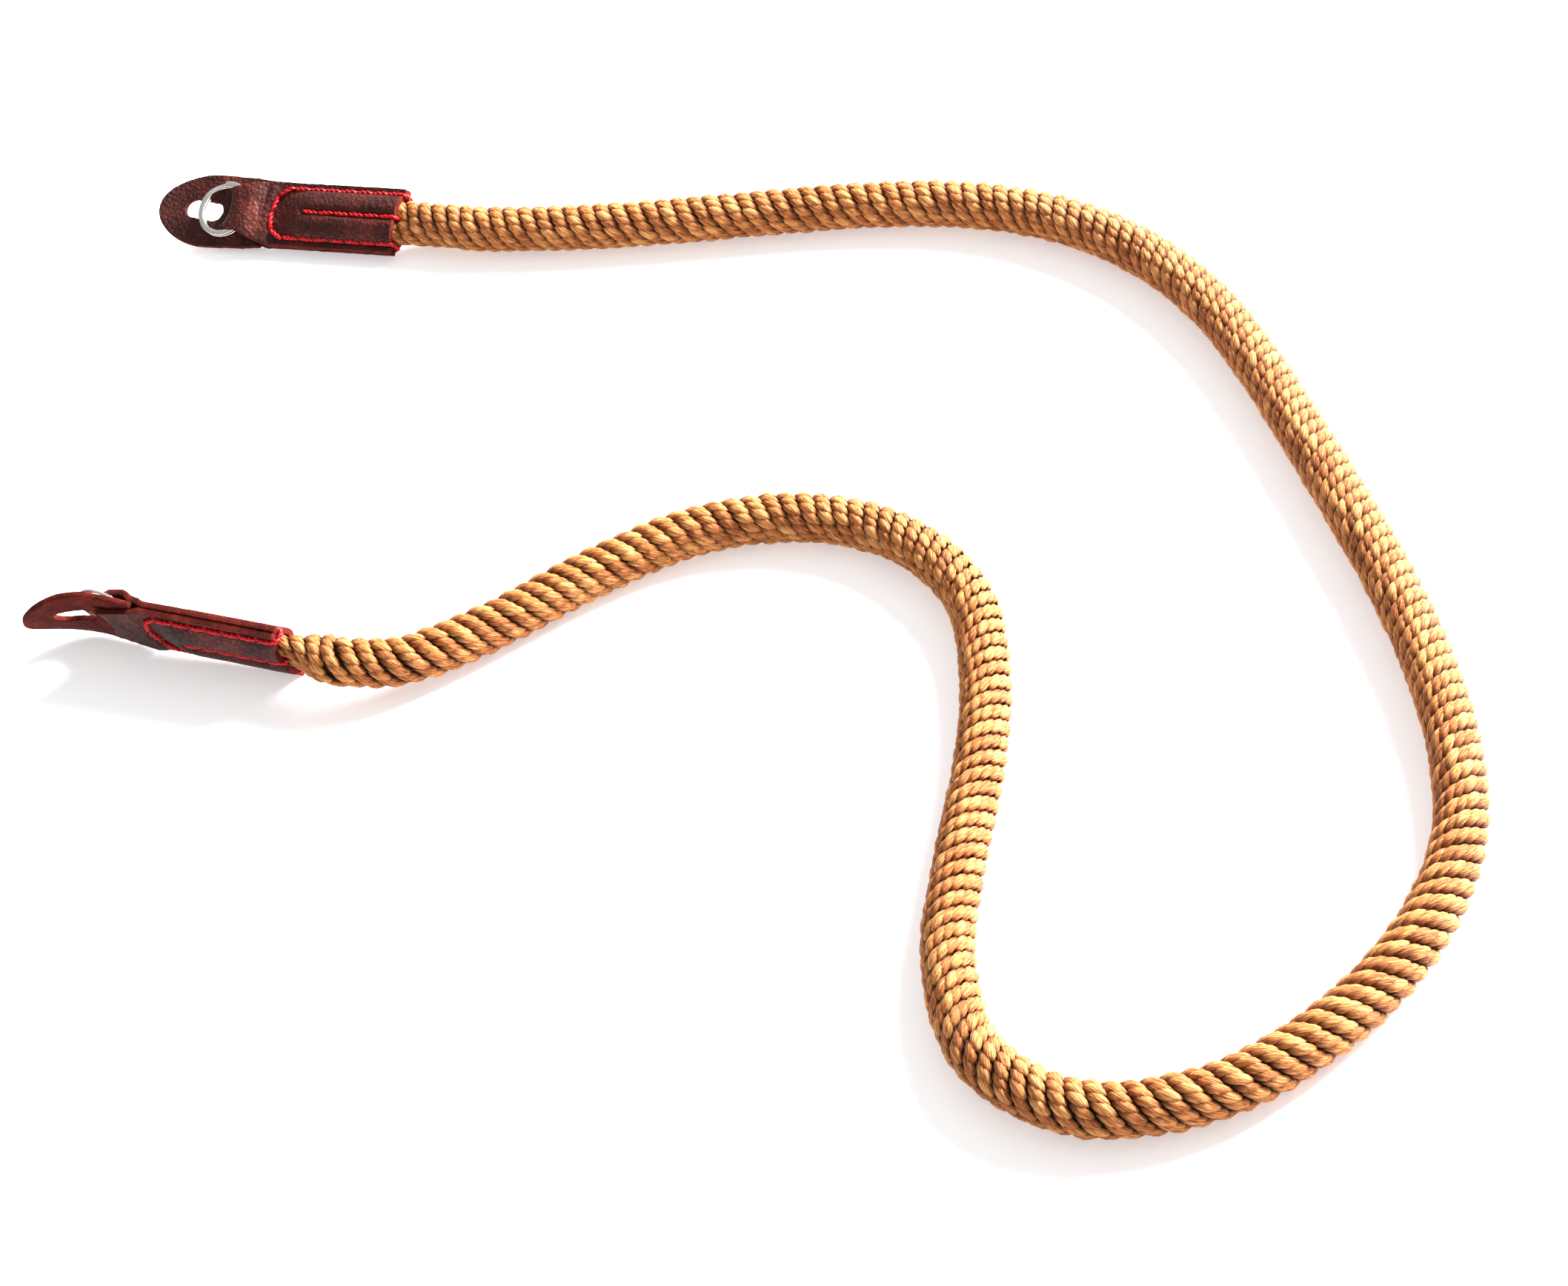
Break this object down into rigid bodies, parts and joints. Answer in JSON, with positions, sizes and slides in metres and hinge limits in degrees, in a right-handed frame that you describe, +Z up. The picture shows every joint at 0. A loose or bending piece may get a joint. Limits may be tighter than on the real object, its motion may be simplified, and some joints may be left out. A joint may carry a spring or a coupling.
{
  "type": "camera neck strap",
  "caption": "Round braided rope strap with folded and sewn leather ends, each with an oval leather guard flap and a small split ring for a camera lug.",
  "frame": {"origin": "on the surface that the strap lies on, under the middle of the box round the two leather ends with their flaps and rings", "axes": "+Z up from the surface; +Y from the leather end that lies nearer the viewer towards the other one; +X towards the side that the rope loops out to"},
  "size_m": [0.3092, 0.4209, 0.0212],
  "materials": {
    "cotton_rope": "matte",
    "leather": "satin",
    "nickel_steel": "polished"
  },
  "bodies": {
    "root": {"leather_tab_far": "leather", "leather_tab_near": "leather", "guard_flap_far": "leather", "guard_flap_near": "leather", "split_ring_far": "nickel_steel", "split_ring_near": "nickel_steel", "rope_end_far": "cotton_rope", "rope_end_near": "cotton_rope", "rope": "cotton_rope"}
  },
  "joints": []
}
